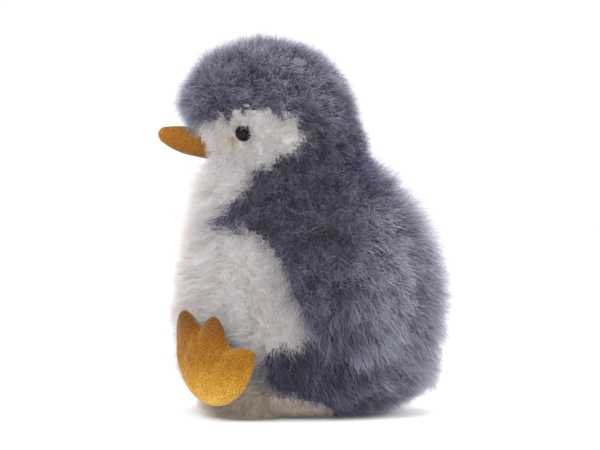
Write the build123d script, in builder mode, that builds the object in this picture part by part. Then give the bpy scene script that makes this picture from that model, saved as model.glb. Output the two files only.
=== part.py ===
"""Plush penguin chick, sitting upright, as its separate sewn pieces.

Millimetres. The toy faces -Y and its left side is +X. The origin is the middle of the flat patch it sits on.
Fur fabric is modelled with its pile: each fur panel is a shell as thick as the pile stands.
"""

import os
from math import cos, radians, sin

from build123d import *

# ---- driving dimensions -------------------------------------------------------------------------
NECK_Z = 143.0  # height of the neck seam

# Cross-sections of the fur's outer surface: height, middle in Y, half depth (Y), half width (X).
TORSO_SECTIONS = [
    (0.0, -2.0, 42.0, 38.0),
    (5.0, -1.5, 57.5, 47.5),
    (14.0, -1.0, 68.0, 53.5),
    (38.0, -1.5, 77.5, 58.5),
    (65.0, -0.5, 80.5, 60.0),
    (91.0, -0.5, 76.0, 58.5),
    (112.0, -2.0, 69.5, 55.0),
    (131.0, -8.0, 60.0, 49.5),
    (NECK_Z, -12.0, 52.0, 45.5),
]
HEAD_SECTIONS = [
    (NECK_Z, -12.0, 52.0, 45.5),
    (155.0, -16.0, 51.5, 46.5),
    (169.0, -22.5, 53.0, 48.5),
    (183.0, -25.0, 52.0, 47.5),
    (200.0, -26.0, 43.0, 40.0),
    (213.0, -26.0, 27.0, 25.5),
    (220.0, -26.0, 6.0, 6.0),
]
TORSO_PILE = 20.0
HEAD_PILE = 12.0
BASE_PILE = 9.0  # pressed flat by the toy's weight
BASE_HALF_DEPTH, BASE_HALF_WIDTH = 40.0, 36.0
FLOOR_TUCK = 6.0  # the filling's floor is narrower by this than the level above it
CROWN_FLAT = 7.0  # radius of the flat top of the head's filling
SIDE_REACH = 100.0  # half length of a pattern cut, past the widest panel

# Pattern lines in side elevation, as (Y, Z): where white fur meets grey fur.
FACE_LINE = [
    (-62.0, 168.0),
    (-44.0, 176.0),
    (-28.0, 175.0),
    (-13.0, 169.0),
    (-4.0, 160.0),
    (-12.0, 151.0),
    (-27.0, NECK_Z),
]
BELLY_LINE = [
    (-27.0, NECK_Z),
    (-55.0, 120.0),
    (-62.0, 108.0),
    (-38.0, 100.0),
    (-6.0, 80.0),
    (-4.0, 52.0),
    (-24.0, 40.0),
    (-26.0, 20.0),
    (-14.0, 0.0),
]
PATTERN_FILLET = 3.0
BROW_Z = 166.0  # height at which the face cut leaves the front of the head
FRONT_Y = -120.0  # in front of everything

BEAK_ROOT = (0.0, -54.0, 155.0)
BEAK_RISE = 11.5  # degrees above level
# Along the beak: distance from the root, half height, half width.
BEAK_SECTIONS = [
    (0.0, 8.6, 9.6),
    (9.0, 8.2, 8.6),
    (18.0, 7.4, 7.2),
    (25.0, 6.2, 5.6),
    (31.0, 4.1, 3.8),
    (34.5, 1.6, 1.6),
]
BEAK_POINT = 0.6  # smallest half size that the beak's inside tapers to
SUEDE = 1.3  # thickness of the suede

EYE_CENTRE = (34.0, -38.5, 161.5)  # middle of the left dome's flat back
EYE_TURN = 20.0  # degrees that the eye looks towards the front
EYE_R = 4.8
EYE_DOME = 4.0
EYE_STEM_R, EYE_STEM = 1.6, 13.0
EYE_WELL = 0.6  # fur is parted this far around the dome
WASHER_R, WASHER_T, WASHER_SEAT = 6.0, 1.4, 5.0
WASHER_FIT = 0.03

FLIPPER_EDGE = [
    (-19.0, 112.0),
    (-18.0, 92.0),
    (-9.0, 72.0),
    (4.0, 55.0),
    (15.0, 41.0),
    (30.0, 34.0),
    (46.0, 44.0),
    (52.0, 66.0),
    (47.0, 92.0),
    (33.0, 112.0),
    (6.0, 121.0),
]  # the leaf's outline, as (Y, Z); its upper edge is sewn to the shoulder
FLIPPER_PANEL = 7.0  # thickness of one fur panel, pile and all
FLIPPER_GAP = 0.9  # between the flipper and the side of the torso

FOOT_TURN = 55.0  # degrees that a sole faces outwards from straight ahead
FOOT_BACK = 66.6  # distance of the foot's back from the toy's axis, along its own direction
FOOT_SIDE = -16.5  # shift of the foot sideways; negative is towards the front
PALM_Z, PALM_R, FOOT_HALF_T = 31.0, 23.5, 9.0
TOE_LENGTHS = (39.0, 28.5, 29.5)  # front, middle and rear toe, from the middle of the palm
TOE_ANGLES = (-38.0, -2.0, 76.0)  # from straight up; positive is towards the back
TOE_START, TOE_BASE_R, TOE_TIP_R = 5.0, 8.2, 4.8

os.makedirs("parts", exist_ok=True)


def write(solid, name):
    """Labels a finished piece and writes it as its own node."""
    solid.label = name
    export_step(solid, f"parts/{name}.step")


def mirrored(solid):
    """The same piece for the right side."""
    return solid.mirror(Plane.YZ)


# ---- fur envelope and filling -------------------------------------------------------------------
def stacked(sections, inset):
    """A loft through level ellipses, pulled in by inset (or out, if negative)."""
    with BuildPart() as body:
        for z, middle, half_depth, half_width in sections:
            with BuildSketch(Plane.XY.offset(z)):
                with Locations((0, middle)):
                    Ellipse(half_width - inset, half_depth - inset)
        loft()
    return body.part


def inner_torso_sections():
    """The torso's sections from the top of the base panel up, so that its filling starts there."""
    kept = [s for s in TORSO_SECTIONS if s[0] > BASE_PILE]
    first = kept[0]
    floor = (BASE_PILE, first[1], first[2] - FLOOR_TUCK, first[3] - FLOOR_TUCK)
    return [floor, *kept]


def inner_head_sections():
    """The head's sections with the crown lowered by the pile."""
    top_z, top_y = HEAD_SECTIONS[-1][0] - HEAD_PILE, HEAD_SECTIONS[-1][1]
    kept = [s for s in HEAD_SECTIONS if s[0] < top_z]
    return [*kept, (top_z, top_y, HEAD_PILE + CROWN_FLAT, HEAD_PILE + CROWN_FLAT)]


def side_cut(line, corners):
    """A prism across the toy, bounded behind by a pattern line and in front by the corners."""
    with BuildPart() as prism:
        with BuildSketch(Plane.YZ):
            with BuildLine():
                FilletPolyline(*line, radius=PATTERN_FILLET)
                Polyline(line[-1], *corners, line[0])
            make_face()
        extrude(amount=SIDE_REACH, both=True)
    return prism.part


torso_outer = stacked(TORSO_SECTIONS, 0)
torso_core = stacked(inner_torso_sections(), TORSO_PILE)
head_outer = stacked(HEAD_SECTIONS, 0)
head_core = stacked(inner_head_sections(), HEAD_PILE)

face_cut = side_cut(FACE_LINE, [(FRONT_Y, NECK_Z), (FRONT_Y, BROW_Z)])
belly_cut = side_cut(BELLY_LINE, [(FRONT_Y, 0.0), (FRONT_Y, NECK_Z)])


# ---- eyes ---------------------------------------------------------------------------------------
def eye_plane():
    """The flat back of the left eye's dome, facing outwards."""
    turn = radians(EYE_TURN)
    return Plane(origin=EYE_CENTRE, z_dir=(cos(turn), -sin(turn), 0.0))


def eye():
    """A safety eye: glossy dome and the stem behind it."""
    plane = eye_plane()
    ball_r = (EYE_R**2 + EYE_DOME**2) / (2 * EYE_DOME)
    with BuildPart() as dome:
        with BuildSketch(plane):
            Circle(EYE_R)
        extrude(amount=EYE_DOME)
        with Locations(plane.offset(EYE_DOME - ball_r).location):
            Sphere(ball_r, mode=Mode.INTERSECT)
        with BuildSketch(plane):
            Circle(EYE_STEM_R)
        extrude(amount=-EYE_STEM)
    return dome.part


def washer():
    """The lock washer pushed onto the stem behind the fabric."""
    with BuildPart() as ring:
        with BuildSketch(eye_plane().offset(-WASHER_SEAT)):
            Circle(WASHER_R)
            Circle(EYE_STEM_R + WASHER_FIT, mode=Mode.SUBTRACT)
        extrude(amount=-WASHER_T)
    return ring.part


def eye_room():
    """What the eye and washer take out of the fur and filling, with the parted fur in front."""
    with BuildPart() as room:
        with BuildSketch(eye_plane()):
            Circle(EYE_R + EYE_WELL)
        extrude(amount=HEAD_PILE * 3)
        with BuildSketch(eye_plane()):
            Circle(EYE_STEM_R)
        extrude(amount=-EYE_STEM)
        with BuildSketch(eye_plane().offset(-WASHER_SEAT)):
            Circle(WASHER_R)
        extrude(amount=-WASHER_T)
    return room.part


# ---- beak ---------------------------------------------------------------------------------------
def beak(inset):
    """The beak's outer shape, or what is left inside its suede."""
    rise = radians(BEAK_RISE)
    root = Plane(origin=BEAK_ROOT, x_dir=(1, 0, 0), z_dir=(0, -cos(rise), sin(rise)))
    reach = BEAK_SECTIONS[-1][0]
    with BuildPart() as horn:
        for along, half_height, half_width in BEAK_SECTIONS:
            with BuildSketch(root.offset(along * (reach - inset) / reach)):
                Ellipse(max(half_width - inset, BEAK_POINT), max(half_height - inset, BEAK_POINT))
        loft()
    return horn.part


# ---- flippers -----------------------------------------------------------------------------------
def flipper_layer(inner_gap, outer_gap):
    """One fur panel of the left flipper: a leaf that follows the torso's side between two gaps."""
    near = stacked(TORSO_SECTIONS, -inner_gap)
    far = stacked(TORSO_SECTIONS, -outer_gap)
    with BuildPart() as leaf:
        with BuildSketch(Plane.YZ):
            with BuildLine():
                Spline(*FLIPPER_EDGE, periodic=True)
            make_face()
        extrude(amount=SIDE_REACH)
        add(far, mode=Mode.INTERSECT)
        add(near, mode=Mode.SUBTRACT)
    return leaf.part


# ---- feet ---------------------------------------------------------------------------------------
def foot_location():
    """The middle of the left foot: x to the back, y up, z outwards through the sole."""
    turn = radians(FOOT_TURN)
    outwards = Vector(sin(turn), -cos(turn), 0.0)
    backwards = Vector(cos(turn), sin(turn), 0.0)
    origin = outwards * (FOOT_BACK + FOOT_HALF_T) + backwards * FOOT_SIDE + Vector(0, 0, PALM_Z)
    return Plane(origin=origin, x_dir=backwards, z_dir=outwards).location


def foot(inset):
    """A lens-shaped palm with three blunt toes, flat in XY, or what is left inside its suede."""
    rim, rise = PALM_R - inset, FOOT_HALF_T - inset
    ball_r = (rim**2 + rise**2) / (2 * rise)
    tip_r = TOE_TIP_R - inset
    with BuildPart() as shape:
        with Locations((0, 0, rise - ball_r)):
            Sphere(ball_r)
        with Locations((0, 0, ball_r - rise)):
            Sphere(ball_r, mode=Mode.INTERSECT)
        for length, angle in zip(TOE_LENGTHS, TOE_ANGLES):
            lean = radians(angle)
            across = Plane(origin=(0, 0, 0), x_dir=(0, 0, 1), z_dir=(sin(lean), cos(lean), 0))
            with BuildSketch(across.offset(TOE_START)):
                Circle(TOE_BASE_R - inset)
            with BuildSketch(across.offset(length - TOE_TIP_R)):
                Circle(tip_r)
            loft()
            with Locations(across.offset(length - TOE_TIP_R).location):
                Sphere(tip_r)
    return shape.part


def panel(outer, core, plane, keep):
    """The part of a sewn shell that lies on one side of its seam plane."""
    with BuildPart() as shell:
        add(outer)
        add(core, mode=Mode.SUBTRACT)
        split(bisect_by=plane, keep=keep)
    return shell.part


# ---- fur panels ---------------------------------------------------------------------------------
eye_left = eye()
washer_left = washer()
room_left = eye_room()
beak_outer = beak(0)
beak_core = beak(SUEDE)

with BuildPart() as base_panel:
    with BuildSketch(Plane.XY):
        with Locations((0, TORSO_SECTIONS[0][1])):
            Ellipse(BASE_HALF_WIDTH, BASE_HALF_DEPTH)
    extrude(amount=BASE_PILE)

with BuildPart() as torso_shell:
    add(torso_outer)
    add(torso_core, mode=Mode.SUBTRACT)
    add(base_panel.part, mode=Mode.SUBTRACT)

with BuildPart() as head_shell:
    add(head_outer)
    add(head_core, mode=Mode.SUBTRACT)
    add(beak_outer, mode=Mode.SUBTRACT)
    add(room_left, mode=Mode.SUBTRACT)
    add(mirrored(room_left), mode=Mode.SUBTRACT)


def inside(shell, cut):
    """The left half of the shell that a pattern cut covers."""
    with BuildPart() as piece:
        add(shell)
        add(cut, mode=Mode.INTERSECT)
        split(bisect_by=Plane.YZ, keep=Keep.TOP)
    return piece.part


def outside(shell, cut):
    """The left half of the shell that a pattern cut leaves over."""
    with BuildPart() as piece:
        add(shell)
        add(cut, mode=Mode.SUBTRACT)
        split(bisect_by=Plane.YZ, keep=Keep.TOP)
    return piece.part


# ---- write every piece --------------------------------------------------------------------------
foot_outer = foot(0)
foot_core = foot(SUEDE)
left_pieces = {
    "face": inside(head_shell.part, face_cut),
    "crown": outside(head_shell.part, face_cut),
    "belly": inside(torso_shell.part, belly_cut),
    "back": outside(torso_shell.part, belly_cut),
    "flipper_inner": flipper_layer(FLIPPER_GAP, FLIPPER_GAP + FLIPPER_PANEL),
    "flipper_outer": flipper_layer(FLIPPER_GAP + FLIPPER_PANEL, FLIPPER_GAP + 2 * FLIPPER_PANEL),
    "foot_sole": panel(foot_outer, foot_core, Plane.XY, Keep.TOP).moved(foot_location()),
    "foot_upper": panel(foot_outer, foot_core, Plane.XY, Keep.BOTTOM).moved(foot_location()),
    "foot_filling": foot_core.moved(foot_location()),
    "beak_panel": panel(beak_outer, beak_core, Plane.YZ, Keep.TOP),
    "eye": eye_left,
    "eye_washer": washer_left,
}
for name, solid in left_pieces.items():
    write(solid, f"{name}_left")
    write(mirrored(solid), f"{name}_right")

with BuildPart() as head_filling:
    add(head_core)
    add(beak_outer, mode=Mode.SUBTRACT)
    add(room_left, mode=Mode.SUBTRACT)
    add(mirrored(room_left), mode=Mode.SUBTRACT)

write(base_panel.part, "base_panel")
write(torso_core, "torso_filling")
write(head_filling.part, "head_filling")
write(beak_core, "beak_filling")
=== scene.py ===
"""Plush penguin chick: long fur on a stuffed body, suede beak and feet, glossy eyes."""

import bpy
import numpy as np
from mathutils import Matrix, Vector
from mathutils.kdtree import KDTree


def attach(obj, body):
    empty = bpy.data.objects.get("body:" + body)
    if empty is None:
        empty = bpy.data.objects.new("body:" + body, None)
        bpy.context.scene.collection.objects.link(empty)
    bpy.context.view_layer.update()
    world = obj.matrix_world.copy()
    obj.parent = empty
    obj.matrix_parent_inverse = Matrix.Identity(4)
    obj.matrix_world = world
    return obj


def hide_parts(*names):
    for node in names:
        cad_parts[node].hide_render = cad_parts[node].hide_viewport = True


MM = 0.001
rng = np.random.default_rng(7)

# ---- shape of the stuffed body, in millimetres --------------------------------------------------
# Level sections of the fur's outer surface: height, middle in Y, half depth, half width.
SECTIONS = np.array(
    [
        (0.0, -2.0, 42.0, 38.0),
        (5.0, -1.5, 57.5, 47.5),
        (14.0, -1.0, 68.0, 53.5),
        (38.0, -1.5, 77.5, 58.5),
        (65.0, -0.5, 80.5, 60.0),
        (91.0, -0.5, 76.0, 58.5),
        (112.0, -2.0, 69.5, 55.0),
        (131.0, -8.0, 60.0, 49.5),
        (143.0, -12.0, 52.0, 45.5),
        (155.0, -16.0, 51.5, 46.5),
        (169.0, -22.5, 53.0, 48.5),
        (183.0, -25.0, 52.0, 47.5),
        (200.0, -26.0, 43.0, 40.0),
        (213.0, -26.0, 27.0, 25.5),
        (220.0, -26.0, 6.0, 6.0),
    ]
)
# How deep the skin lies under the fur's outer surface: height, depth.
PILE = np.array([(0, 4.0), (10, 8.0), (30, 11.5), (110, 12.0), (140, 10.0), (160, 8.5), (220, 8.5)])

EYE = np.array((36.5, -40.0, 162.0))
EYE_OUT = np.array((0.94, -0.34, 0.05))
EYE_R = 4.8
EYE_RISE = 4.6  # height of the dome over its flange
EYE_SUNK = 2.3  # depth of the eye's flange in the fur
BEAK_ROOT = np.array((0.0, -60.0, 157.0))

# The left foot: which way its sole faces, which way its rear toe points, and its middle.
FOOT_OUT = np.array((np.sin(np.radians(55)), -np.cos(np.radians(55)), 0.0))
FOOT_BACKWARDS = np.array((np.cos(np.radians(55)), np.sin(np.radians(55)), 0.0))
FOOT_SIDE = -18.0  # negative is towards the front
FOOT_DISTANCE, FOOT_HEIGHT = 74.8, 32.0
FOOT_MIDDLE = FOOT_OUT * FOOT_DISTANCE + FOOT_BACKWARDS * FOOT_SIDE + np.array((0, 0, FOOT_HEIGHT))

# White fur in side elevation, as (Y, Z) outlines.
FACE_OUTLINE = [
    (-90, 166),
    (-66, 166),
    (-56, 170),
    (-46, 171),
    (-42, 175),
    (-24, 174.5),
    (-12, 169),
    (-3, 160),
    (-14, 150),
    (-28, 142),
    (-35, 131),
    (-46, 120),
    (-56, 107),
    (-42, 105),
    (-34, 108),
    (-25, 99),
    (-17, 89),
    (-10, 80),
    (-4, 70),
    (0, 58),
    (-4, 47),
    (-20, 41),
    (-29, 30),
    (-25, 19),
    (-8, 13),
    (12, 7),
    (10, -10),
    (-120, -10),
]


def smoothstep(low, high, value):
    """0 at low, 1 at high and smooth between; it falls along the value where low is the larger."""
    t = np.clip((value - low) / (high - low), 0.0, 1.0)
    return t * t * (3.0 - 2.0 * t)


def unit(vectors):
    """Each row scaled to length 1."""
    return vectors / np.maximum(np.linalg.norm(vectors, axis=-1, keepdims=True), 1e-9)


def catmull(table, x):
    """Smooth interpolation of every column of the table at x, which is its first column."""
    keys = table[:, 0]
    i = np.clip(np.searchsorted(keys, x) - 1, 0, len(keys) - 2)
    span = keys[i + 1] - keys[i]
    t = np.clip((x - keys[i]) / span, 0, 1)[:, None]
    slope = np.gradient(table[:, 1:], keys, axis=0)
    a, b = table[i, 1:], table[i + 1, 1:]
    ma, mb = slope[i] * span[:, None], slope[i + 1] * span[:, None]
    return (
        (2 * t**3 - 3 * t**2 + 1) * a
        + (t**3 - 2 * t**2 + t) * ma
        + (-2 * t**3 + 3 * t**2) * b
        + (t**3 - t**2) * mb
    )


def falloff(points, centre, size):
    """1 at the centre, falling away smoothly over a size in millimetres."""
    return np.exp(-((np.linalg.norm(points - centre, axis=1) / size) ** 2))


def inside(outline, y, z):
    """True where (y, z) is inside a closed outline."""
    points = np.array(outline, float)
    result = np.zeros(len(y), bool)
    for (y0, z0), (y1, z1) in zip(points, np.roll(points, -1, axis=0)):
        crosses = (z0 > z) != (z1 > z)
        at = y0 + (z - z0) * (y1 - y0) / (z1 - z0 if z1 != z0 else 1e-9)
        result ^= crosses & (y < at)
    return result


def wave(points, size, seed):
    """Smooth pseudo-random vectors between -1 and 1 from sums of sines, size in millimetres."""
    gen = np.random.default_rng(seed)
    total = np.zeros((len(points), 3))
    for octave in range(4):
        directions = unit(gen.normal(size=(3, 3)))
        freq = 2 * np.pi / (size * 0.72**octave)
        phase = gen.uniform(0, 2 * np.pi, 3)
        bend = np.sin(points[:, [1, 2, 0]] * freq * 0.61 + phase) * 1.3
        total += np.sin(points @ directions.T * freq + phase * 2 + bend) * 0.6
    return np.clip(total / 1.5, -1.4, 1.4)


# ---- materials ----------------------------------------------------------------------------------
def new_material(name):
    """An empty node material with its output, and its node tree."""
    mat = bpy.data.materials.new(name)
    mat.use_nodes = True
    tree = mat.node_tree
    tree.nodes.clear()
    out = tree.nodes.new("ShaderNodeOutputMaterial")
    return mat, tree, out


def node(tree, kind, values=None, **settings):
    """A node with its attributes and unlinked inputs set."""
    made = tree.nodes.new(kind)
    for key, value in settings.items():
        setattr(made, key, value)
    for key, value in (values or {}).items():
        made.inputs[key].default_value = value
    return made


def ramp(tree, stops):
    """A colour ramp with its stops given as (position, linear colour)."""
    made = tree.nodes.new("ShaderNodeValToRGB")
    while len(made.color_ramp.elements) < len(stops):
        made.color_ramp.elements.new(0.5)
    for element, (position, colour) in zip(made.color_ramp.elements, stops):
        element.position = position
        element.color = (*colour, 1)
    return made


def srgb(red, green, blue):
    """A linear colour from 0-255 display values."""
    values = np.array((red, green, blue)) / 255
    return tuple(np.where(values < 0.04045, values / 12.92, ((values + 0.055) / 1.055) ** 2.4))


def fur_material(name, tones, root_tones, translucent=0.35, sheen=0.25):
    """Fur whose colour runs from root to tip (V) and from dark to light hairs (U) of its strand UVs."""
    mat, tree, out = new_material(name)
    uv = node(tree, "ShaderNodeUVMap", uv_map="OFBake")
    split = node(tree, "ShaderNodeSeparateXYZ")
    tree.links.new(uv.outputs[0], split.inputs[0])
    tips = ramp(tree, tones)
    roots = ramp(tree, root_tones)
    tree.links.new(split.outputs[0], tips.inputs[0])
    tree.links.new(split.outputs[0], roots.inputs[0])
    along = node(tree, "ShaderNodeMapRange", {1: 0.3, 2: 1.0}, interpolation_type="SMOOTHSTEP")
    tree.links.new(split.outputs[1], along.inputs[0])
    mix = node(tree, "ShaderNodeMix", data_type="RGBA")
    tree.links.new(along.outputs[0], mix.inputs[0])
    tree.links.new(roots.outputs[0], mix.inputs[6])
    tree.links.new(tips.outputs[0], mix.inputs[7])
    surface = node(
        tree,
        "ShaderNodeBsdfPrincipled",
        {"Roughness": 0.7, "Specular IOR Level": 0.25, "Sheen Weight": sheen, "Sheen Roughness": 0.5},
    )
    through = node(tree, "ShaderNodeBsdfTranslucent")
    blend = node(tree, "ShaderNodeMixShader", {0: translucent})
    tree.links.new(mix.outputs[2], surface.inputs["Base Color"])
    tree.links.new(mix.outputs[2], through.inputs["Color"])
    tree.links.new(surface.outputs[0], blend.inputs[1])
    tree.links.new(through.outputs[0], blend.inputs[2])
    tree.links.new(blend.outputs[0], out.inputs[0])
    return mat


def underfur_material(name, dark, light, scale):
    """Dense woolly underfur: mottled colour with a matted bump."""
    mat, tree, out = new_material(name)
    coords = node(tree, "ShaderNodeTexCoord")
    mottle = node(tree, "ShaderNodeTexNoise", {"Scale": scale, "Detail": 8, "Roughness": 0.7})
    tree.links.new(coords.outputs["Object"], mottle.inputs["Vector"])
    tint = ramp(tree, [(0.3, dark), (0.7, light)])
    tree.links.new(mottle.outputs[0], tint.inputs[0])
    fibre = node(tree, "ShaderNodeTexNoise", {"Scale": scale * 9, "Detail": 6, "Distortion": 1.5})
    tree.links.new(coords.outputs["Object"], fibre.inputs["Vector"])
    bump = node(tree, "ShaderNodeBump", {"Strength": 0.8, "Distance": 0.0012})
    tree.links.new(fibre.outputs[0], bump.inputs["Height"])
    surface = node(
        tree,
        "ShaderNodeBsdfPrincipled",
        {"Roughness": 0.95, "Specular IOR Level": 0.1, "Sheen Weight": 0.3},
    )
    tree.links.new(tint.outputs[0], surface.inputs["Base Color"])
    tree.links.new(bump.outputs[0], surface.inputs["Normal"])
    tree.links.new(surface.outputs[0], out.inputs[0])
    return mat


def suede_material(name, low, high, tones):
    """Orange suede: tones from height low to high in metres, cloudy nap, and fine darker grain."""
    mat, tree, out = new_material(name)
    coords = node(tree, "ShaderNodeTexCoord")
    cloud = node(tree, "ShaderNodeTexNoise", {"Scale": 70, "Detail": 5, "Roughness": 0.6})
    grain = node(tree, "ShaderNodeTexNoise", {"Scale": 1700, "Detail": 6, "Roughness": 0.75})
    speck = node(tree, "ShaderNodeTexVoronoi", {"Scale": 1100, "Randomness": 1.0})
    for texture in (cloud, grain, speck):
        tree.links.new(coords.outputs["Object"], texture.inputs["Vector"])
    place = node(tree, "ShaderNodeSeparateXYZ")
    tree.links.new(coords.outputs["Object"], place.inputs[0])
    # Tones change with height; on the feet this is painted light, lighter low down where the floor lights
    # them.
    height = node(tree, "ShaderNodeMapRange", {1: low, 2: high})
    tree.links.new(place.outputs[2], height.inputs[0])
    cloudy = node(tree, "ShaderNodeMath", {1: 0.45}, operation="MULTIPLY_ADD")
    tree.links.new(cloud.outputs[0], cloudy.inputs[0])
    tree.links.new(height.outputs[0], cloudy.inputs[2])
    shifted = node(tree, "ShaderNodeMath", {1: 0.22}, operation="SUBTRACT")
    tree.links.new(cloudy.outputs[0], shifted.inputs[0])
    base = ramp(tree, tones)
    tree.links.new(shifted.outputs[0], base.inputs[0])
    fine = ramp(tree, [(0.38, srgb(98, 74, 34)), (0.52, srgb(222, 206, 178)), (0.62, (1.0, 1.0, 1.0))])
    tree.links.new(grain.outputs[0], fine.inputs[0])
    pits = ramp(tree, [(0.0, srgb(170, 120, 70)), (0.18, (1, 1, 1))])
    tree.links.new(speck.outputs["Distance"], pits.inputs[0])
    first = node(tree, "ShaderNodeMix", {0: 1.0}, data_type="RGBA", blend_type="MULTIPLY")
    tree.links.new(base.outputs[0], first.inputs[6])
    tree.links.new(fine.outputs[0], first.inputs[7])
    second = node(tree, "ShaderNodeMix", {0: 0.5}, data_type="RGBA", blend_type="MULTIPLY")
    tree.links.new(first.outputs[2], second.inputs[6])
    tree.links.new(pits.outputs[0], second.inputs[7])
    rough = node(tree, "ShaderNodeMath", operation="ADD")
    tree.links.new(grain.outputs[0], rough.inputs[0])
    tree.links.new(speck.outputs["Distance"], rough.inputs[1])
    bump = node(tree, "ShaderNodeBump", {"Strength": 0.55, "Distance": 0.0004})
    tree.links.new(rough.outputs[0], bump.inputs["Height"])
    surface = node(
        tree,
        "ShaderNodeBsdfPrincipled",
        {
            "Roughness": 0.9,
            "Specular IOR Level": 0.2,
            "Sheen Weight": 0.35,
            "Sheen Roughness": 0.4,
            "Sheen Tint": (1.0, 0.82, 0.5, 1.0),
        },
    )
    tree.links.new(second.outputs[2], surface.inputs["Base Color"])
    tree.links.new(bump.outputs[0], surface.inputs["Normal"])
    tree.links.new(surface.outputs[0], out.inputs[0])
    return mat


def eye_material():
    """Polished near-black plastic, slightly brown, with faint handling marks in its gloss."""
    mat, tree, out = new_material("black_eye")
    coords = node(tree, "ShaderNodeTexCoord")
    smear = node(tree, "ShaderNodeTexNoise", {"Scale": 320, "Detail": 4})
    tree.links.new(coords.outputs["Object"], smear.inputs["Vector"])
    tint = ramp(tree, [(0.35, (0.002, 0.002, 0.003)), (0.7, (0.006, 0.004, 0.004))])
    tree.links.new(smear.outputs[0], tint.inputs[0])
    gloss = node(tree, "ShaderNodeMapRange", {1: 0.3, 2: 0.75, 3: 0.10, 4: 0.2})
    tree.links.new(smear.outputs[0], gloss.inputs[0])
    surface = node(tree, "ShaderNodeBsdfPrincipled", {"Specular IOR Level": 0.1})
    tree.links.new(tint.outputs[0], surface.inputs["Base Color"])
    tree.links.new(gloss.outputs[0], surface.inputs["Roughness"])
    tree.links.new(surface.outputs[0], out.inputs[0])
    return mat


# ---- mesh helpers -------------------------------------------------------------------------------
def mesh_object(name, verts, faces, mat, smooth=True):
    """A mesh piece from vertices in millimetres."""
    mesh = bpy.data.meshes.new(name)
    mesh.from_pydata([tuple(v * MM) for v in np.asarray(verts, float)], [], faces)
    mesh.materials.append(mat)
    mesh.polygons.foreach_set("use_smooth", [smooth] * len(mesh.polygons))
    mesh.update()
    obj = bpy.data.objects.new(name, mesh)
    bpy.context.collection.objects.link(obj)
    return obj


def tube_faces(rings, spokes):
    """Faces of a closed tube of rings, whose two end points come after the rings."""
    faces = []
    for r in range(rings - 1):
        for c in range(spokes):
            n = (c + 1) % spokes
            faces.append((r * spokes + c, r * spokes + n, (r + 1) * spokes + n, (r + 1) * spokes + c))
    first, last = rings * spokes, rings * spokes + 1
    tail = (rings - 1) * spokes
    for c in range(spokes):
        n = (c + 1) % spokes
        faces.append((first, n, c))
        faces.append((last, tail + c, tail + n))
    return faces


def triangles(faces):
    """Every face split into triangles, as rows of three vertex indices."""
    return np.array([(f[0], f[k], f[k + 1]) for f in faces for k in range(1, len(f) - 1)])


def outward(verts, faces):
    """The faces of a closed net, turned so that their normals point out of it."""
    a, b, c = verts[triangles(faces)].transpose(1, 0, 2)
    volume = np.sum(np.cross(a, b) * c)
    return [tuple(f) if volume > 0 else tuple(reversed(f)) for f in faces]


def vertex_normals(verts, faces):
    """Area-weighted normals at the vertices."""
    tris = triangles(faces)
    a, b, c = verts[tris].transpose(1, 0, 2)
    cross = np.cross(b - a, c - a)
    normals = np.zeros_like(verts)
    for corner in range(3):
        np.add.at(normals, tris[:, corner], cross)
    return unit(normals)


def scatter(verts, faces, normals, count, gen, weight=None):
    """Random points on a surface with their normals; weight makes some places denser."""
    tris = triangles(faces)
    a, b, c = verts[tris].transpose(1, 0, 2)
    area = np.linalg.norm(np.cross(b - a, c - a), axis=1)
    if weight is not None:
        area = area * weight((a + b + c) / 3)
    pick = gen.choice(len(tris), count, p=area / area.sum())
    u, v = gen.random(count), gen.random(count)
    flip = u + v > 1
    u[flip], v[flip] = 1 - u[flip], 1 - v[flip]
    w = 1 - u - v
    points = a[pick] * w[:, None] + b[pick] * u[:, None] + c[pick] * v[:, None]
    n = normals[tris[pick]]
    return points, unit(n[:, 0] * w[:, None] + n[:, 1] * u[:, None] + n[:, 2] * v[:, None])


# ---- the skin under the fur ---------------------------------------------------------------------
def skin_surface():
    """A closed net of points round the body, a pile's depth inside the fur's outer surface."""
    rows, columns = 110, 96
    top = SECTIONS[-1, 0]
    # Rows bunch up towards the two flat ends.
    t = np.linspace(0, 1, rows)
    z = top * (0.5 - 0.5 * np.cos(np.pi * t)) * 0.5 + top * t * 0.5
    middle, depth, width = catmull(SECTIONS, z).T
    angle = np.linspace(0, 2 * np.pi, columns, endpoint=False)
    x = np.cos(angle)[None, :] * width[:, None]
    y = np.sin(angle)[None, :] * depth[:, None] + middle[:, None]
    verts = np.stack([x, y, np.repeat(z[:, None], columns, 1)], 2).reshape(-1, 3)
    verts = np.vstack([verts, [(0, middle[0], 0), (0, middle[-1], top)]])
    faces = tube_faces(rows, columns)
    normals = vertex_normals(verts, faces)
    inset = np.interp(verts[:, 2], PILE[:, 0], PILE[:, 1])
    for side in (1, -1):
        inset += 4.5 * falloff(verts, EYE * (side, 1, 1), 9.0)
    inset += 4.0 * falloff(verts, BEAK_ROOT + (0, -6, 0), 10.0)
    verts = verts - normals * inset[:, None]
    verts[:, 2] = np.maximum(verts[:, 2], 0.6)
    return verts, outward(verts, faces)


def region_white(points):
    """True for roots of white hairs."""
    wobble = wave(points, 17.0, 11) * 2.2 + wave(points, 5.0, 13) * 1.1
    return inside(FACE_OUTLINE, points[:, 1] + wobble[:, 0], points[:, 2] + wobble[:, 1])


# ---- fur ----------------------------------------------------------------------------------------
LEVELS = 5  # points along a hair, root and tip included
TAPER = np.array([1.0, 0.95, 0.75, 0.5, 0.0])
PIECE_HAIRS = 9000  # hairs in one fur object
BODY_HAIRS = 150000  # hairs sown on the body
FLIPPER_HAIRS = 12000  # hairs on one flipper
GUARD_SHARE = 0.06  # share of long, light guard hairs


def tangent(direction, normals):
    """The part of a direction that lies along the surface, as unit vectors."""
    direction = np.broadcast_to(direction, normals.shape)
    along = direction - normals * np.sum(direction * normals, axis=1, keepdims=True)
    return unit(along)


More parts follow.
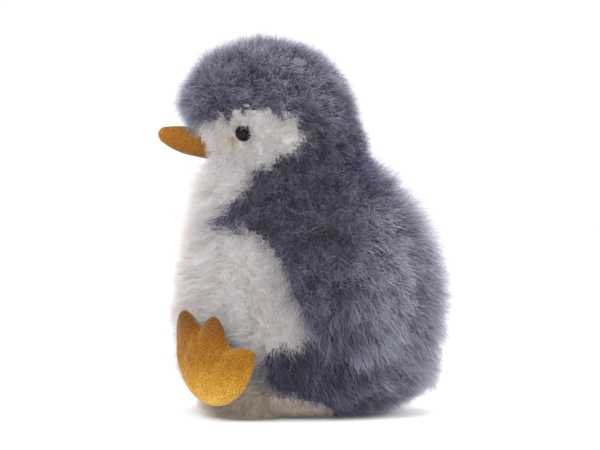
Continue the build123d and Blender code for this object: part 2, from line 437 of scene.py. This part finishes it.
def nearest(points, centres):
    """The index of the nearest centre to each point."""
    tree = KDTree(len(centres))
    for i, centre in enumerate(centres):
        tree.insert(centre, i)
    tree.balance()
    return np.array([tree.find(p)[1] for p in points])


def hair_paths(roots, normals, comb, length, lift, curl, gen, stray=0.2, droop=0.15):
    """Points along every hair: it stands off the skin by its lift, leans to the comb and curls."""
    count = len(roots)
    tuft = tangent(wave(roots, 24.0, 3), normals)
    ripple = wave(roots, 8.0, 5)
    jitter = gen.normal(size=(count, 3)) * stray
    first = tangent(gen.normal(size=(count, 3)), normals)
    second = np.cross(normals, first)
    turn = gen.uniform(0, 2 * np.pi, count)
    spin = gen.choice((-1.0, 1.0), count) * gen.uniform(2.5, 5.0, count)
    paths = np.empty((count, LEVELS, 3))
    paths[:, 0] = roots
    step = (length / (LEVELS - 1))[:, None]
    for k in range(1, LEVELS):
        s = k / (LEVELS - 1)
        stand = (lift * (1.12 - 0.3 * s))[:, None]
        angle = turn + spin * s
        loop = first * np.cos(angle)[:, None] + second * np.sin(angle)[:, None]
        direction = normals * stand + comb * (1 - stand) + tuft * 0.22 + ripple * 0.22 + jitter
        direction = direction + loop * (curl * (0.35 + 0.65 * s))[:, None]
        direction[:, 2] -= droop * s
        paths[:, k] = paths[:, k - 1] + unit(direction) * step
    return paths


def clumped(paths, gen, spacing, pull):
    """Hairs drawn towards the nearest of some of them, more towards the tip, so that they form locks."""
    count = len(paths)
    guides = gen.choice(count, max(8, int(count / spacing)), replace=False)
    mine = guides[nearest(paths[:, 1], paths[guides, 1])]
    offset = paths[:, :1] - paths[mine, :1]
    target = paths[mine] + offset * 0.35
    s = np.linspace(0, 1, LEVELS)[None, :, None]
    weight = pull * s**1.2 * gen.uniform(0.55, 1.0, (count, 1, 1))
    return paths * (1 - weight) + target * weight


def hair_mesh(name, paths, radius, shade, mat, body):
    """One fur object of three-sided tapered hairs. U is the hair's shade, V runs from root to tip."""
    count = len(paths)
    along = unit(np.gradient(paths, axis=1))
    side = unit(np.cross(along, unit(wave(paths[:, 0], 5.0, 9) + (0.3, 0.2, 0.9))[:, None, :]))
    other = np.cross(along, side)
    rings = LEVELS - 1
    turn = np.arange(3) * 2 * np.pi / 3
    ring = side[:, :rings, None] * np.cos(turn)[:, None] + other[:, :rings, None] * np.sin(turn)[:, None]
    size = radius[:, None, None, None] * TAPER[None, :rings, None, None]
    sides = (paths[:, :rings, None] + ring * size).reshape(count, rings * 3, 3)
    verts = np.concatenate([sides, paths[:, -1:]], axis=1)
    per_hair = rings * 3 + 1
    faces, levels, corners = [], [], []
    for k in range(rings - 1):
        for j in range(3):
            n = (j + 1) % 3
            a, b, c, d = k * 3 + j, k * 3 + n, (k + 1) * 3 + n, (k + 1) * 3 + j
            faces += [(a, b, c), (a, c, d)]
            levels += [(k, k, k + 1), (k, k + 1, k + 1)]
            corners += [(j, j + 1, j + 1), (j, j + 1, j)]
    for j in range(3):
        faces.append((3 * (rings - 1) + j, 3 * (rings - 1) + (j + 1) % 3, 3 * rings))
        levels.append((rings - 1, rings - 1, rings))
        corners.append((j, j + 1, j + 0.5))
    faces = np.array(faces)
    index = (np.arange(count)[:, None, None] * per_hair + faces[None]).reshape(-1)
    u = (shade[:, None, None] * 0.95 + np.array(corners)[None] * 0.012 + 0.006).reshape(-1)
    v = np.broadcast_to(np.array(levels)[None] / rings * 0.98 + 0.01, (count, len(faces), 3)).reshape(-1)
    mesh = bpy.data.meshes.new(name)
    mesh.vertices.add(count * per_hair)
    mesh.vertices.foreach_set("co", (verts.reshape(-1) * MM).astype(np.float32))
    mesh.loops.add(len(index))
    mesh.loops.foreach_set("vertex_index", index.astype(np.int32))
    polys = len(index) // 3
    mesh.polygons.add(polys)
    mesh.polygons.foreach_set("loop_start", np.arange(polys, dtype=np.int32) * 3)
    mesh.polygons.foreach_set("use_smooth", np.ones(polys, bool))
    mesh.update(calc_edges=True)
    layer = mesh.uv_layers.new(name="OFBake")
    layer.data.foreach_set("uv", np.stack([u, v], 1).reshape(-1).astype(np.float32))
    mesh.materials.append(mat)
    obj = bpy.data.objects.new(name, mesh)
    bpy.context.collection.objects.link(obj)
    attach(obj, body)


def fur(name, paths, radius, shade, mat, body, gen):
    """A coat of hair, split into objects by height so that each stays small."""
    shade = np.clip(shade, 0.0, 1.0)
    paths = paths.copy()
    paths[:, :, 2] = np.where(paths[:, :, 2] < 0.4, 0.4 + gen.random(paths.shape[:2]) * 0.8, paths[:, :, 2])
    order = np.argsort(paths[:, 0, 2])
    parts = max(1, int(np.ceil(len(order) / PIECE_HAIRS)))
    for i, chosen in enumerate(np.array_split(order, parts)):
        piece = f"{name}_{i + 1:02d}"
        hair_mesh(piece, paths[chosen], radius[chosen], shade[chosen], mat, body)


def with_guard_hairs(length, shade, allowed, gen):
    """Lengths and shades with a few of the allowed hairs made longer and lighter."""
    guard = (gen.random(len(length)) < GUARD_SHARE) & allowed
    return np.where(guard, length * 1.2, length), np.where(guard, shade + 0.35, shade)


# ---- the coat on the body -----------------------------------------------------------------------
def body_density(points):
    """How thickly hair is sown: thinly under the base, thickly on the head and behind the feet."""
    low = smoothstep(6, 2, points[:, 2])
    head = smoothstep(140, 160, points[:, 2])
    heel = smoothstep(45, 20, points[:, 2]) * smoothstep(-10, -30, points[:, 1])
    return 1.0 - 0.75 * low + 0.35 * head + 0.6 * heel


def off_axis(points, centre, axis):
    """How far each point is from a line through the centre."""
    offset = points - centre
    return np.linalg.norm(offset - (offset @ axis)[:, None] * axis, axis=1)


def clear_of_face(roots):
    """False for roots that an eye or the beak covers."""
    keep = np.ones(len(roots), bool)
    for side in (1, -1):
        facing = unit(EYE_OUT * (side, 1, 1))
        keep &= off_axis(roots, EYE * (side, 1, 1), facing) > EYE_R - 1.3
    beak_axis = np.array((0, -0.97, 0.2))
    behind_beak = roots[:, 1] - BEAK_ROOT[1] > 20
    return keep & ((off_axis(roots, BEAK_ROOT, beak_axis) > 8.0) | behind_beak)


def body_comb(roots, out, white, head, crown):
    """Which way the body's hair lies along its surface."""
    y, z = roots[:, 1], roots[:, 2]
    under = smoothstep(48, 18, z) * smoothstep(-10, 30, y)
    backwards = 0.35 + 0.5 * head + 0.5 * under
    upwards = -1.0 + 0.55 * crown + 0.8 * under
    flow = np.stack([np.zeros_like(y), backwards, upwards], 1)
    flow[:, 1] = np.where(white & (head < 0.5), 0.05, flow[:, 1])
    flow[:, 0] += np.sign(roots[:, 0]) * 0.15
    comb = tangent(flow, out)
    # Round the eyes and the beak it is parted outwards.
    for side in (1, -1):
        eye = EYE * (side, 1, 1)
        near = falloff(roots, eye, 8.0)[:, None]
        comb = unit(comb * (1 - near) + tangent(roots - eye, out) * near * 0.9)
    near = falloff(roots, BEAK_ROOT, 13.0)[:, None]
    return unit(comb * (1 - near) + tangent(roots - BEAK_ROOT, out) * near * 1.6)


def body_length(roots, white, head, flank, rear):
    """How long the body's hair is, before it varies from hair to hair."""
    front = smoothstep(-40, -65, roots[:, 1])
    low = smoothstep(30, 8, roots[:, 2])
    length = 18.0 - 6.0 * head + 3.0 * flank + 1.5 * front * head
    length = np.where(white, 16.5 - 5.0 * head + 4.5 * front * (1 - head), length)
    length *= (1 + 0.20 * rear) * (1 - 0.55 * low)
    for side in (1, -1):
        length *= 1 - 0.35 * falloff(roots, EYE * (side, 1, 1), 9.0)
    length *= 1 - 0.4 * falloff(roots, BEAK_ROOT, 13.0)
    return length * (1 + 0.14 * wave(roots, 14.0, 31)[:, 0])


def body_shade(roots, out, white, crown, rear):
    """How light the body's hair is, before it varies from hair to hair; it holds painted light and painted
    shadow too.
    """
    y, z = roots[:, 1], roots[:, 2]
    shoulder = smoothstep(95, 125, z) * smoothstep(172, 150, z) * smoothstep(55, 25, y)
    # Painted light: hair at the rim, facing away from the sides, and hair towards the rear are lighter, for
    # the backlit fringe of the outline.
    rim_light = smoothstep(0.55, 0.1, np.abs(out[:, 0]))
    shade = 0.46 + 0.14 * crown + 0.36 * rear + rim_light * (0.14 + 0.10 * rear)
    shade -= 0.14 * shoulder * smoothstep(-60, -35, y)
    # Painted shadow low on the flank, behind the belly and under the flipper's tip.
    shade -= 0.16 * np.exp(-(((y + 4) / 22) ** 2) - ((z - 32) / 16) ** 2)
    # Painted shadow in the gap along the flipper's front edge.
    shade -= 0.30 * np.exp(-(((y + 1) / 10) ** 2) - ((z - 66) / 16) ** 2)
    # Painted shade greys the white hair towards the front; near the base the hair turns cream, its own
    # colour.
    pale_shade = 0.74 - 0.20 * smoothstep(-45, -68, y) - 0.50 * smoothstep(26, 12, z)
    # Brown painted shadow in front of the eye and below it.
    painted_shadow_gap = np.hypot(y - EYE[1] + 5.0, z - EYE[2] + 2.0)
    pale_shade -= 0.9 * np.exp(-((painted_shadow_gap / 4.2) ** 2)) * smoothstep(12, 20, np.abs(roots[:, 0]))
    patches = 0.14 * wave(roots, 30.0, 41)[:, 0] + 0.07 * wave(roots, 9.0, 43)[:, 0]
    return np.where(white, pale_shade, shade) + patches


def carry_feet(roots, comb, length, curl):
    """Comb, length and curl with the fur behind each foot standing straight out to meet it."""
    z = roots[:, 2]
    for side in (1, -1):
        outwards, backwards = FOOT_OUT * (side, 1, 1), FOOT_BACKWARDS * (side, 1, 1)
        sideways = np.abs(roots @ backwards - FOOT_SIDE)
        behind = smoothstep(25, 17, sideways) * smoothstep(30, 42, roots @ outwards)
        behind *= smoothstep(62, 52, z) * smoothstep(2, 8, z)
        comb = unit(comb * (1 - behind[:, None]) + outwards * behind[:, None] * 3)
        length = np.maximum(length, (15.5 + 4.5 * smoothstep(36, 24, z)) * behind)
        curl = curl * (1 - 0.5 * behind)
    return comb, length, curl


def body_coat(verts, faces, normals, gen, hairs):
    """Paths, colours and kind of every hair that grows from the stuffed body."""
    roots, out = scatter(verts, faces, normals, hairs, gen, body_density)
    keep = clear_of_face(roots)
    roots, out = roots[keep], out[keep]
    y, z = roots[:, 1], roots[:, 2]

    white = region_white(roots)
    head = smoothstep(132, 152, z)
    crown = head * smoothstep(165, 185, z)
    flank = smoothstep(66, 40, z) * smoothstep(-45, -20, y) * ~white
    rear = smoothstep(10, 70, y) * (1 - head)

    comb = body_comb(roots, out, white, head, crown)
    length = body_length(roots, white, head, flank, rear) * gen.uniform(0.6, 1.2, len(roots))
    lift = 0.82 - 0.30 * flank + 0.04 * head + 0.10 * wave(roots, 13.0, 33)[:, 1]
    curl = 0.80 - 0.25 * flank + 0.1 * head - 0.2 * rear
    shade = body_shade(roots, out, white, crown, rear) + gen.normal(size=len(roots)) * 0.13
    length, shade = with_guard_hairs(length, shade, ~white, gen)

    # The white lump's hair is swept back over the front edge of the flipper.
    lump = white * np.exp(-(((y + 2) / 12) ** 2) - ((z - 62) / 18) ** 2)
    comb = unit(comb * (1 - lump[:, None]) + tangent(np.array((0.6, 1.0, -0.25)), out) * lump[:, None])
    length *= 1 + 0.35 * lump
    lift -= 0.12 * lump
    comb, length, curl = carry_feet(roots, comb, length, curl)
    paths = hair_paths(roots, out, comb, length, np.clip(lift, 0.25, 0.95), curl, gen, 0.3)
    return paths, shade, white


def torso_side(y, z):
    """How far the fur's outer surface stands out to the side at (Y, Z)."""
    middle, depth, width = catmull(SECTIONS, z).T
    return width * np.sqrt(np.clip(1 - ((y - middle) / depth) ** 2, 0.02, 1))


# ---- flippers -----------------------------------------------------------------------------------
def flipper_surface():
    """The left flipper's stuffed leaf: flat oval rings from the shoulder to the tip."""
    rings, spokes = 26, 40
    t = np.linspace(0.02, 0.98, rings)
    centre_y = 6.0 + 26.0 * t
    centre_z = 116.0 - 74.0 * t
    half = 31.0 * np.sin(np.pi * np.clip(0.16 + 0.80 * t, 0, 1)) ** 0.62
    thick = 2.6 * np.sin(np.pi * np.clip(0.10 + 0.86 * t, 0, 1)) ** 0.5
    across = unit(np.array([[0.94, 0.34]]))[0]
    angle = np.linspace(0, 2 * np.pi, spokes, endpoint=False)
    y = centre_y[:, None] + across[0] * half[:, None] * np.cos(angle)
    z = centre_z[:, None] + across[1] * half[:, None] * np.cos(angle)
    side = torso_side(y.reshape(-1), z.reshape(-1)).reshape(y.shape)
    x = side + 3.6 + thick[:, None] * np.sin(angle)
    verts = np.stack([x, y, z], 2).reshape(-1, 3)
    ends = np.array([verts[:spokes].mean(0), verts[-spokes:].mean(0)])
    verts = np.vstack([verts, ends])
    return verts, outward(verts, tube_faces(rings, spokes))


def flipper_coat(verts, faces, normals, gen, hairs):
    """Long hair that sweeps down and back over a flipper and hangs below its tip."""

    def density(p):
        outside = p[:, 0] > torso_side(p[:, 1], p[:, 2]) + 3.6
        return np.where(outside, 1.0, 0.3)

    roots, out = scatter(verts, faces, normals, hairs, gen, density)
    y, z = roots[:, 1], roots[:, 2]
    outer = smoothstep(-0.2, 0.5, out[:, 0])
    comb = tangent(np.array((0.0, 0.42, -1.0)), out)
    tip = smoothstep(70, 40, z)
    length = (8.0 + 9.0 * outer + 3.0 * tip) * gen.uniform(0.65, 1.2, len(roots))
    length *= 1 + 0.15 * wave(roots, 12.0, 51)[:, 0]
    edge = smoothstep(-0.1, -0.6, out[:, 1]) * smoothstep(-0.6, 0.0, out[:, 0])
    # At rest, hair that stands up from the top edge hides the seam with the shoulder.
    crest = smoothstep(-0.1, 0.5, out[:, 2]) * smoothstep(96, 108, z)
    length *= 1 + 0.25 * edge + 0.4 * crest
    lift = 0.32 + 0.34 * np.maximum(outer, edge) - 0.22 * tip + 0.10 * wave(roots, 14.0, 53)[:, 1]
    lift += 0.3 * crest
    curl = 0.75 - 0.3 * tip
    # Painted light: the flipper's hair grows lighter towards the rear, like the body's backlit rear.
    shade = 0.44 + 0.36 * smoothstep(0, 45, y)
    shade -= 0.20 * smoothstep(84, 106, z) * smoothstep(45, 15, y)
    shade += 0.14 * wave(roots, 26.0, 55)[:, 0] + 0.07 * wave(roots, 9.0, 57)[:, 0]
    shade += gen.normal(size=len(roots)) * 0.13
    length, shade = with_guard_hairs(length, shade, True, gen)
    paths = hair_paths(roots, out, comb, length, np.clip(lift, 0.1, 0.8), curl, gen, 0.3, 0.25)
    return paths, shade


# ---- suede pieces -------------------------------------------------------------------------------
# The foot's outline: degrees from straight up towards the back, and reach from its middle.
FOOT_OUTLINE = np.array(
    [
        (-41.5, 38.0),
        (-36.0, 38.4),
        (-31.0, 36.0),
        (-25.0, 26.5),
        (-20.0, 22.3),
        (-13.0, 24.3),
        (-5.0, 27.3),
        (6.0, 28.2),
        (13.0, 25.8),
        (30.0, 19.3),
        (48.0, 16.8),
        (60.0, 20.0),
        (68.0, 26.5),
        (75.0, 31.0),
        (84.0, 31.0),
        (98.0, 29.0),
        (125.0, 27.0),
        (150.0, 25.8),
        (175.0, 24.6),
        (205.0, 22.8),
        (230.0, 22.0),
        (255.0, 22.5),
        (280.0, 25.0),
        (300.0, 29.5),
        (311.0, 34.5),
        (318.5, 38.0),
    ]
)
FOOT_SCALE = 0.97  # applied to every reach of the outline
FOOT_HALF_THICKNESS = 8.6
# Toe tips: reach from the middle, and degrees as above.
TOES = [(37.5, -37.0), (27.5, 1.0), (31.0, 79.0)]
# Creases in the sole, from between two toes to where they fade, across and up from the middle.
CREASES = [
    (np.array((-7.5, 20.5)), np.array((-16.0, 3.0))),
    (np.array((13.0, 9.5)), np.array((6.0, -5.0))),
]


def foot_radius(angle):
    """How far the foot's outline is from the middle of its palm in a direction."""
    turned = (np.degrees(angle) - FOOT_OUTLINE[0, 0]) % 360 + FOOT_OUTLINE[0, 0]
    return catmull(FOOT_OUTLINE, turned)[:, 0] * FOOT_SCALE


def foot_blank():
    """Two flat suede panels joined along their outline, slightly parted."""
    spokes, rings = 144, 16
    angle = np.linspace(0, 2 * np.pi, spokes, endpoint=False)
    soft = foot_radius(angle)
    rho = np.linspace(0, 1, rings + 1)[1:]
    verts, faces = [], []
    x = np.sin(angle) * soft
    y = np.cos(angle) * soft
    for face_side in (1, -1):
        for r in rho[:-1]:
            h = face_side * 3.0 * np.sqrt(1 - r**2)
            verts.append(np.stack([x * r, y * r, np.full(spokes, h)], 1))
    verts.append(np.stack([x, y, np.zeros(spokes)], 1))
    verts.append(np.array([(0, 0, 3.0), (0, 0, -3.0)]))
    verts = np.vstack(verts)
    inner = rings - 1
    rim_light = 2 * inner * spokes

    def ring(side_index, k):
        return rim_light if k == inner else (side_index * inner + k) * spokes

    poles = (rim_light + spokes, rim_light + spokes + 1)
    for side_index in (0, 1):
        for k in range(inner):
            a, b = ring(side_index, k), ring(side_index, k + 1)
            for c in range(spokes):
                n = (c + 1) % spokes
                quad = (a + c, b + c, b + n, a + n)
                faces.append(quad[::-1] if side_index == 0 else quad)
        for c in range(spokes):
            n = (c + 1) % spokes
            tri = (poles[side_index], ring(side_index, 0) + c, ring(side_index, 0) + n)
            faces.append(tri[::-1] if side_index == 0 else tri)
    return verts, faces


def inflate(obj, pressure, frames):
    """Blows up a sewn blank with Cloth pressure and keeps the result as plain mesh."""
    cloth = obj.modifiers.new("inflate", "CLOTH")
    settings = cloth.settings
    settings.quality = 8
    settings.mass = 0.2
    settings.tension_stiffness = 40
    settings.compression_stiffness = 10
    settings.shear_stiffness = 10
    settings.bending_stiffness = 0.6
    settings.use_pressure = True
    settings.uniform_pressure_force = pressure
    settings.effector_weights.gravity = 0
    cloth.collision_settings.use_collision = False
    cloth.point_cache.frame_start = 1
    cloth.point_cache.frame_end = frames
    scene = bpy.context.scene
    for frame_number in range(1, frames + 1):
        scene.frame_set(frame_number)
    depsgraph = bpy.context.evaluated_depsgraph_get()
    blown = np.empty(len(obj.data.vertices) * 3)
    obj.evaluated_get(depsgraph).data.vertices.foreach_get("co", blown)
    obj.modifiers.remove(cloth)
    obj.data.vertices.foreach_set("co", blown)
    obj.data.update()
    scene.frame_set(1)
    return blown.reshape(-1, 3)


def foot_piece(name, side, mat):
    """A stuffed suede foot at its place, on the left for side 1 and on the right for side -1."""
    verts, faces = foot_blank()
    faces = outward(verts, faces)
    obj = mesh_object(name, verts, faces, mat)
    local = verts
    local = inflate(obj, pressure=6.0, frames=16) / MM
    # The puffed thickness is brought to the foot's real one, and the seam keeps its place.
    thick = np.abs(local[:, 2]).max()
    local = local * (1, 1, FOOT_HALF_THICKNESS / thick)
    reach = np.linalg.norm(verts[:, :2], axis=1) / np.maximum(np.linalg.norm(local[:, :2], axis=1), 1e-6)
    local[:, :2] *= np.clip(reach, 0.8, 1.2)[:, None] ** 0.8
    # Gathers where the seam turns round each toe tip, and toes that curl a little towards the belly.
    for length, lean in TOES:
        axis = np.array((np.sin(np.radians(lean)), np.cos(np.radians(lean))))
        along = local[:, :2] @ axis
        across = local[:, :2] @ np.array((axis[1], -axis[0]))
        near = smoothstep(length - 9, length - 1, along) * smoothstep(9, 5, np.abs(across))
        local[:, 2] += near * 0.5 * np.sin(across * 2.4 + length)
    # Creases that run down from between the toes.
    for start, end in CREASES:
        run = end - start
        t = np.clip((local[:, :2] - start) @ run / (run @ run), 0, 1)
        gap = np.linalg.norm(local[:, :2] - start - t[:, None] * run, axis=1)
        pressed = 1.9 * np.exp(-((gap / 2.4) ** 2)) * (1 - 0.8 * t)
        local[:, 2] -= pressed * smoothstep(0.5, 2.5, local[:, 2])
    far = np.linalg.norm(local[:, :2], axis=1)
    local[:, 2] -= 2.2 * smoothstep(16, 38, far) * smoothstep(0, 12, local[:, 1])
    local[:, 2] += 0.35 * wave(local, 9.0, 61)[:, 0] * smoothstep(0, 3, np.abs(local[:, 2]))
    placed = (
        FOOT_MIDDLE
        + local[:, :1] * FOOT_BACKWARDS
        + local[:, 1:2] * np.array((0, 0, 1.0))
        + local[:, 2:] * FOOT_OUT
    )
    placed[:, 0] *= side
    obj.data.vertices.foreach_set("co", (placed * MM).reshape(-1))
    if side < 0:
        obj.data.flip_normals()
    obj.data.update()
    smooth_once(obj)
    return obj


def smooth_once(obj):
    """One level of subdivision, applied."""
    obj.modifiers.new("smooth", "SUBSURF").levels = 1
    depsgraph = bpy.context.evaluated_depsgraph_get()
    mesh = bpy.data.meshes.new_from_object(obj.evaluated_get(depsgraph))
    obj.modifiers.clear()
    obj.data = mesh
    mesh.polygons.foreach_set("use_smooth", [True] * len(mesh.polygons))


def beak_piece(mat):
    """The suede beak: two panels sewn along the top and bottom, blunt at the tip."""
    stations = np.array(
        [
            (0.0, 9.2, 9.8),
            (5.0, 9.0, 9.4),
            (11.0, 8.6, 8.6),
            (18.0, 8.2, 7.3),
            (25.0, 6.9, 5.7),
            (30.0, 5.2, 4.4),
            (32.8, 3.9, 3.4),
            (34.2, 2.2, 2.0),
        ]
    )
    rise = np.radians(11.5)
    root = np.array((0.0, -54.0, 155.0))
    axis = np.array((0, -np.cos(rise), np.sin(rise)))
    up = np.array((0, np.sin(rise), np.cos(rise)))
    reach = stations[-1, 0]
    along = np.linspace(0, reach, 30)
    high, wide = catmull(stations, along).T
    spokes = 48
    angle = np.linspace(0, 2 * np.pi, spokes, endpoint=False)
    verts = []
    for s, h, w in zip(along, high, wide):
        # The panels swell a little fuller than an ellipse and pinch in where they are sewn.
        pinch = 1 - 0.10 * np.exp(-((np.abs(np.cos(angle)) / 0.12) ** 2))
        pucker = 1 + 0.015 * np.sin(angle * 9 + s * 1.1)
        x = np.cos(angle) * w * pucker
        z = np.sin(angle) * h * pinch
        droop = -0.9 * np.sin(np.pi * s / reach)
        ring = root + axis * s + np.outer(x, (1, 0, 0)) + np.outer(z + droop, up)
        verts.append(ring)
    verts = np.vstack(verts + [[root, root + axis * 34.9]])
    faces = tube_faces(len(along), spokes)
    return mesh_object("beak", verts, outward(verts, faces), mat)


def eye_piece(name, side, mat):
    """A polished dome with a flange that the fur closes round."""
    facing = unit(EYE_OUT[None])[0]
    ref = unit(np.cross(facing, (0, 0, 1))[None])[0]
    up = np.cross(ref, facing)
    profile = [(0.0, EYE_RISE)]
    for t in np.linspace(0.12, 1.0, 12):
        profile.append((EYE_R * np.sin(t * np.pi / 2), EYE_RISE * np.cos(t * np.pi / 2)))
    profile += [(EYE_R * 1.02, -0.4), (EYE_R * 0.9, -1.0), (0.0, -1.0)]
    spokes = 48
    angle = np.linspace(0, 2 * np.pi, spokes, endpoint=False)
    centre = EYE - facing * EYE_SUNK
    verts = [centre + facing * profile[0][1]]
    for radius, height in profile[1:-1]:
        around = np.outer(np.cos(angle), ref) + np.outer(np.sin(angle), up)
        verts.extend(centre + around * radius + facing * height)
    verts.append(centre + facing * profile[-1][1])
    verts = np.array(verts) * (side, 1, 1)
    faces = []
    rings = len(profile) - 2
    for c in range(spokes):
        n = (c + 1) % spokes
        faces.append((0, 1 + c, 1 + n))
        for r in range(rings - 1):
            a, b = 1 + r * spokes, 1 + (r + 1) * spokes
            faces.append((a + c, b + c, b + n, a + n))
        last = 1 + (rings - 1) * spokes
        faces.append((last + n, last + c, len(verts) - 1))
    return mesh_object(name, verts, outward(verts, faces), mat)


# ---- build --------------------------------------------------------------------------------------
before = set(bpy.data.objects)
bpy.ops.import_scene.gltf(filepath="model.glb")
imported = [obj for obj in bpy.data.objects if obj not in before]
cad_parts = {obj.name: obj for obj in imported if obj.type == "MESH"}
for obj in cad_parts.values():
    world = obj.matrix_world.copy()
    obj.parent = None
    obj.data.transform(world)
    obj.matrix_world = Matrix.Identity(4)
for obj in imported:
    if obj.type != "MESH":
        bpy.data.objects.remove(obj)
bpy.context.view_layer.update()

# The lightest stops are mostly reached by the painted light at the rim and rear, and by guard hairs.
grey = fur_material(
    "grey_fur",
    [
        (0.0, srgb(72, 71, 98)),
        (0.3, srgb(122, 121, 155)),
        (0.5, srgb(164, 162, 199)),
        (0.7, srgb(202, 202, 220)),
        (1.0, srgb(242, 241, 248)),
    ],
    [(0.0, srgb(24, 25, 35)), (0.5, srgb(52, 53, 70)), (0.75, srgb(98, 99, 116)), (1.0, srgb(178, 178, 190))],
    translucent=0.42,
)
# Brown at the start of both ramps is the painted shadow by the eyes; the greyer white near the middle partly
# carries the painted shade at the front.
pale = fur_material(
    "white_fur",
    [
        (0.0, srgb(96, 74, 56)),
        (0.1, srgb(255, 246, 230)),
        (0.32, srgb(255, 248, 238)),
        (0.46, srgb(224, 221, 223)),
        (0.72, srgb(251, 250, 251)),
        (1.0, srgb(255, 255, 255)),
    ],
    [
        (0.0, srgb(70, 54, 42)),
        (0.1, srgb(246, 232, 210)),
        (0.32, srgb(248, 238, 222)),
        (0.5, srgb(226, 221, 221)),
        (1.0, srgb(246, 243, 244)),
    ],
    translucent=0.5,
)
grey_under = underfur_material("grey_underfur", srgb(40, 42, 53), srgb(66, 68, 84), 90)
pale_under = underfur_material("white_underfur", srgb(205, 198, 196), srgb(228, 223, 222), 70)
# Painted light: the feet's suede is lighter low down, lit from the floor, and darker up the toes.
foot_suede = suede_material(
    "foot_suede",
    0.008,
    0.062,
    [
        (0.0, srgb(228, 192, 98)),
        (0.25, srgb(188, 144, 52)),
        (0.5, srgb(150, 106, 22)),
        (0.8, srgb(126, 82, 12)),
        (1.0, srgb(94, 58, 8)),
    ],
)
beak_suede = suede_material(
    "beak_suede",
    0.148,
    0.168,
    [(0.0, srgb(134, 90, 24)), (0.5, srgb(148, 102, 30)), (1.0, srgb(158, 112, 36))],
)
gloss = eye_material()

skin_verts, skin_faces = skin_surface()
skin_normals = vertex_normals(skin_verts, skin_faces)
body = mesh_object("stuffed_body", skin_verts, skin_faces, grey_under)
body.data.materials.append(pale_under)
centres = np.array([skin_verts[list(f)].mean(0) for f in skin_faces])
body.data.polygons.foreach_set("material_index", region_white(centres).astype(np.int32))
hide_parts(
    "crown_left",
    "crown_right",
    "back_left",
    "back_right",
    "face_left",
    "face_right",
    "belly_left",
    "belly_right",
    "base_panel",
    "torso_filling",
    "head_filling",
    "eye_washer_left",
    "eye_washer_right",
)
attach(body, "stuffed_body")

paths, shade, white = body_coat(skin_verts, skin_faces, skin_normals, rng, BODY_HAIRS)
paths = clumped(paths, rng, 60, 0.25)
paths = clumped(paths, rng, 8, 0.4)
width = rng.uniform(0.055, 0.09, len(paths))
for kind, mat, slot_name in ((white, pale, "white_fur"), (~white, grey, "grey_fur")):
    fur(slot_name, paths[kind], width[kind], shade[kind], mat, "stuffed_body", rng)

leaf_verts, leaf_faces = flipper_surface()
leaf_normals = vertex_normals(leaf_verts, leaf_faces)
for side, word in ((1, "left"), (-1, "right")):
    mirror = np.array((side, 1, 1))
    faces = leaf_faces if side > 0 else [tuple(reversed(f)) for f in leaf_faces]
    leaf = mesh_object(f"flipper_{word}", leaf_verts * mirror, faces, grey_under)
    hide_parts(f"flipper_outer_{word}", f"flipper_inner_{word}")
    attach(leaf, f"flipper_{word}")
    gen = np.random.default_rng(20 + side)
    paths, shade = flipper_coat(leaf_verts, leaf_faces, leaf_normals, gen, FLIPPER_HAIRS)
    paths = clumped(clumped(paths, gen, 60, 0.3), gen, 8, 0.4)
    width = gen.uniform(0.055, 0.09, len(paths))
    fur(f"flipper_fur_{word}", paths * mirror, width, shade, grey, f"flipper_{word}", gen)

    foot = foot_piece(f"foot_{word}", side, foot_suede)
    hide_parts(f"foot_sole_{word}", f"foot_upper_{word}", f"foot_filling_{word}")
    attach(foot, f"foot_{word}")

    eye = eye_piece(f"eye_dome_{word}", side, gloss)
    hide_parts(f"eye_{word}")
    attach(eye, "stuffed_body")

beak = beak_piece(beak_suede)
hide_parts("beak_panel_left", "beak_panel_right", "beak_filling")
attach(beak, "stuffed_body")

# ---- studio -------------------------------------------------------------------------------------
floor = mesh_object(
    "floor",
    [(-3000, -3000, -0.5), (3000, -3000, -0.5), (3000, 3000, -0.5), (-3000, 3000, -0.5)],
    [(0, 1, 2, 3)],
    underfur_material("floor_paper", (0.86, 0.86, 0.86), (0.9, 0.9, 0.9), 3),
)

world = bpy.data.worlds.new("studio")
world.use_nodes = True
world.node_tree.nodes["Background"].inputs[0].default_value = (1.0, 1.0, 1.0, 1)
world.node_tree.nodes["Background"].inputs[1].default_value = 1.05
bpy.context.scene.world = world


def area_light(name, place, size, power):
    """A soft square light aimed at the middle of the toy."""
    light = bpy.data.lights.new(name, "AREA")
    light.size = size
    light.energy = power
    obj = bpy.data.objects.new(name, light)
    bpy.context.collection.objects.link(obj)
    obj.location = place
    aim = Vector((0, 0, 0.11)) - Vector(place)
    obj.rotation_euler = aim.to_track_quat("-Z", "Y").to_euler()


area_light("key", (0.9, -0.9, 1.2), 0.9, 22)
area_light("top", (0.1, 0.3, 1.5), 1.0, 16)
area_light("back", (-0.4, 1.2, 0.6), 0.8, 12)
area_light("fill", (1.3, 0.1, 0.10), 0.6, 5)

camera = bpy.data.cameras.new("camera")
camera.sensor_width = 36
distance = 1.60
view_width = 0.348  # metres across the picture at the toy
camera.lens = camera.sensor_width * distance / view_width
view = bpy.data.objects.new("camera", camera)
bpy.context.collection.objects.link(view)
azimuth, elevation = np.radians(88), np.radians(2)
target = Vector((0.0, -0.006, 0.1085))
away = Vector(
    (
        np.sin(azimuth) * np.cos(elevation),
        -np.cos(azimuth) * np.cos(elevation),
        np.sin(elevation),
    )
)
view.location = target + away * distance
view.rotation_euler = (-away).to_track_quat("-Z", "Y").to_euler()
bpy.context.scene.camera = view
bpy.context.scene.view_settings.view_transform = "Standard"
